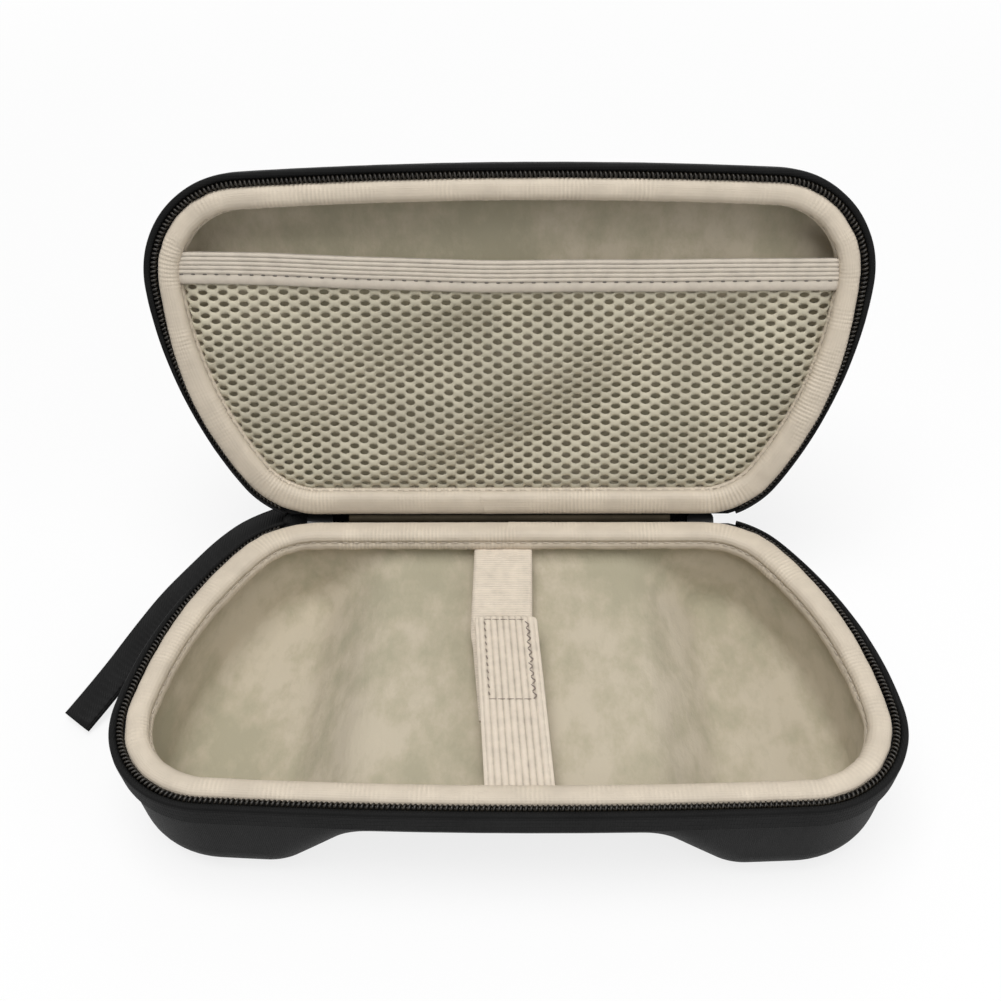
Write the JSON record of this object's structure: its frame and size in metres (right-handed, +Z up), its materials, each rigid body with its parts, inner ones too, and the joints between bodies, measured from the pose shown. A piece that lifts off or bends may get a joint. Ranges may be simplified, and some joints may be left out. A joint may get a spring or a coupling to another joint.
{
  "type": "zipped hard case for a portable game console",
  "caption": "Open zipped hard case with moulded grip wells, plush lining, padded binding, hold-down strap, mesh lid pocket and hand strap, for a handheld console.",
  "frame": {"origin": "on the surface the case stands on, under the middle of the open case without its hand strap", "axes": "+X to the right along the hinge line, +Y to the back where the lid is hinged, +Z up"},
  "size_m": [0.2753, 0.1799, 0.1569],
  "materials": {
    "shell": "black woven cloth moulded over stiff foam",
    "plush": "short-pile plush, greenish beige",
    "binding": "ribbed beige binding tape over a soft core",
    "zip_tape": "black woven tape",
    "zip_coil": "dark nylon coil",
    "hinge_cloth": "dark brown-black tape",
    "slider_metal": "black enamel",
    "elastic": "ribbed beige elastic webbing",
    "hook_and_loop": "beige hook and loop tape",
    "mesh": "beige knitted net",
    "hand_strap": "black woven tape, doubled"
  },
  "bodies": {
    "base": {"base_shell": "shell", "base_lining": "plush", "base_binding": "binding", "base_zip_tape": "zip_tape", "base_zip_coil": "zip_coil", "hinge_strip": "hinge_cloth", "zip_end_left": "zip_tape", "zip_end_right": "zip_tape", "slider_left": "slider_metal", "slider_right": "slider_metal", "front_strap": "elastic", "hook_pad": "hook_and_loop", "loop_pad": "hook_and_loop", "rear_strap": "elastic", "hand_strap": "hand_strap"},
    "lid": {"lid_shell": "shell", "lid_lining": "plush", "lid_binding": "binding", "lid_zip_tape": "zip_tape", "lid_zip_coil": "zip_coil", "mesh_pocket": "mesh", "pocket_elastic": "elastic"},
    "pull_left": {"pull_left": "slider_metal"},
    "pull_right": {"pull_right": "slider_metal"}
  },
  "joints": [
    {"name": "lid_hinge", "type": "hinge", "parent": "base", "child": "lid", "pos_m": [0, 0.03198, 0.0425], "axis": [-1, 0, 0], "range_deg": [-110, 0], "deforming": ["hinge_strip", "zip_end_left", "zip_end_right"]},
    {"name": "pull_left_hinge", "type": "hinge", "parent": "base", "child": "pull_left", "pos_m": [-0.06949, 0.04046, 0.03038], "axis": [0, 0.8192, 0.5736], "range_deg": [-55, 55]},
    {"name": "pull_right_hinge", "type": "hinge", "parent": "base", "child": "pull_right", "pos_m": [0.06949, 0.04046, 0.03038], "axis": [0, -0.8192, -0.5736], "range_deg": [-55, 55]}
  ]
}
